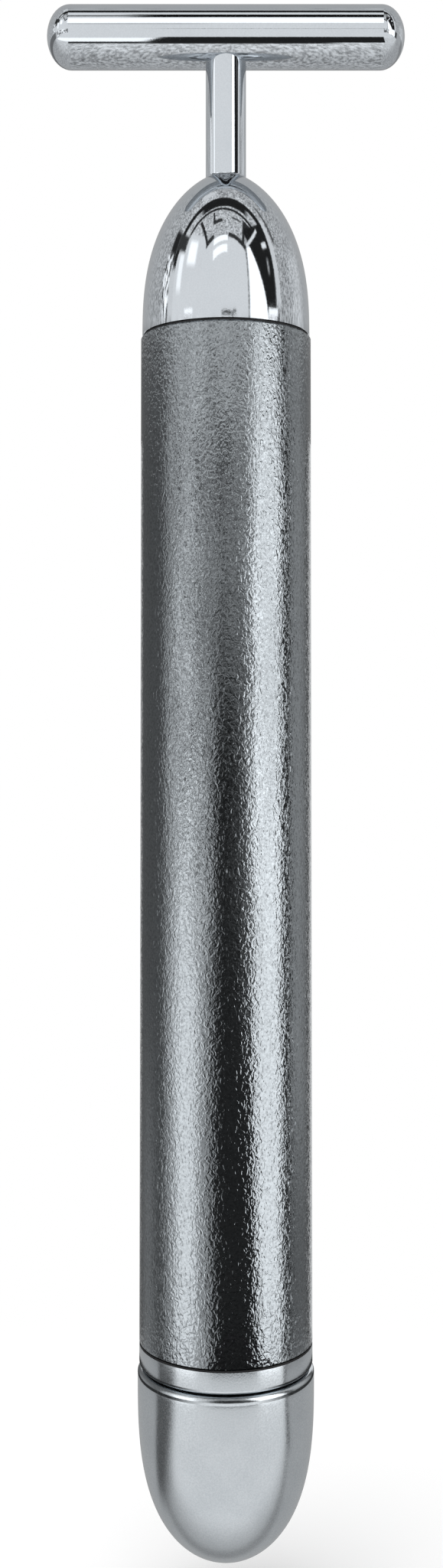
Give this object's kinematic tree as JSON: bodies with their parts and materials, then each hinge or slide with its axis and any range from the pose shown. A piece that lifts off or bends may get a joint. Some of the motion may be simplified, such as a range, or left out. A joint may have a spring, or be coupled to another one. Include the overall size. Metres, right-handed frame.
{
  "type": "vibrating beauty bar",
  "caption": "Slim metal massage wand with a polished T-shaped head on a domed end, a grey grip sleeve, and a screw-on rounded end cap that works as battery door and switch.",
  "frame": {"origin": "tip of the end cap, on the handle's axis", "axes": "+Z along the handle from the cap to the T bar, X along the T bar, +Y away from the side that the picture shows"},
  "size_m": [0.0362, 0.0172, 0.1537],
  "materials": {
    "polished_chrome": "mirror polished",
    "satin_chrome": "satin",
    "grey_anodised": "fine blasted grain, anodised dark grey",
    "black_rubber": "matt",
    "black_plastic": "moulded",
    "white_plastic": "moulded",
    "cream_plastic": "moulded",
    "nickel_plate": "nickel plated",
    "spring_steel": "drawn wire",
    "cell_steel": "drawn",
    "cell_wrap": "shrink wrap",
    "brass": "rolled",
    "bronze": "sintered",
    "red_lead": "silicone insulation",
    "black_lead": "silicone insulation",
    "screw_steel": "zinc plated",
    "motor_steel": "drawn, nickel plated",
    "magnet": "sintered",
    "shaft_steel": "ground",
    "lamination": "stamped",
    "copper": "enamelled",
    "weight_metal": "sintered"
  },
  "bodies": {
    "handle": {"t_head": "polished_chrome", "head_gasket": "black_rubber", "handle_sleeve": "grey_anodised", "liner_tube": "black_plastic", "threaded_collar": "satin_chrome", "cap_seal_ring": "black_rubber", "contact_carrier": "cream_plastic", "positive_contact": "nickel_plate", "negative_strip": "brass", "red_lead": "red_lead", "black_lead": "black_lead", "motor_holder": "black_plastic", "holder_screws": "screw_steel", "motor_can": "motor_steel", "motor_end_bell": "white_plastic", "motor_bearings": "bronze", "motor_magnets": "magnet", "motor_brushes": "brass"},
    "cell": {"cell_can": "cell_steel", "cell_wrap": "cell_wrap", "cell_seal_washer": "white_plastic", "cell_positive_button": "nickel_plate", "cell_negative_plate": "nickel_plate"},
    "cap": {"end_cap": "satin_chrome", "cap_contact_plate": "nickel_plate", "cap_contact_spring": "spring_steel"},
    "rotor": {"motor_shaft": "shaft_steel", "armature_core": "lamination", "armature_windings": "copper", "commutator": "copper", "eccentric_weight": "weight_metal"}
  },
  "joints": [
    {"name": "cell_slide", "type": "slide", "parent": "handle", "child": "cell", "axis": [0, 0, -1], "range_m": [0, 0.00525]},
    {"name": "cap_twist", "type": "hinge", "parent": "cell", "child": "cap", "pos_m": [0, 0, 0.0155], "axis": [0, 0, -1], "range_deg": [0, 1260]},
    {"name": "rotor_spin", "type": "hinge", "parent": "handle", "child": "rotor", "pos_m": [0, 0, 0.105], "axis": [0, 0, 1], "continuous": true}
  ],
  "couplings": [
    {"joint": "cell_slide", "follows": "cap_twist", "m_per_rad": 0.00023873}
  ]
}
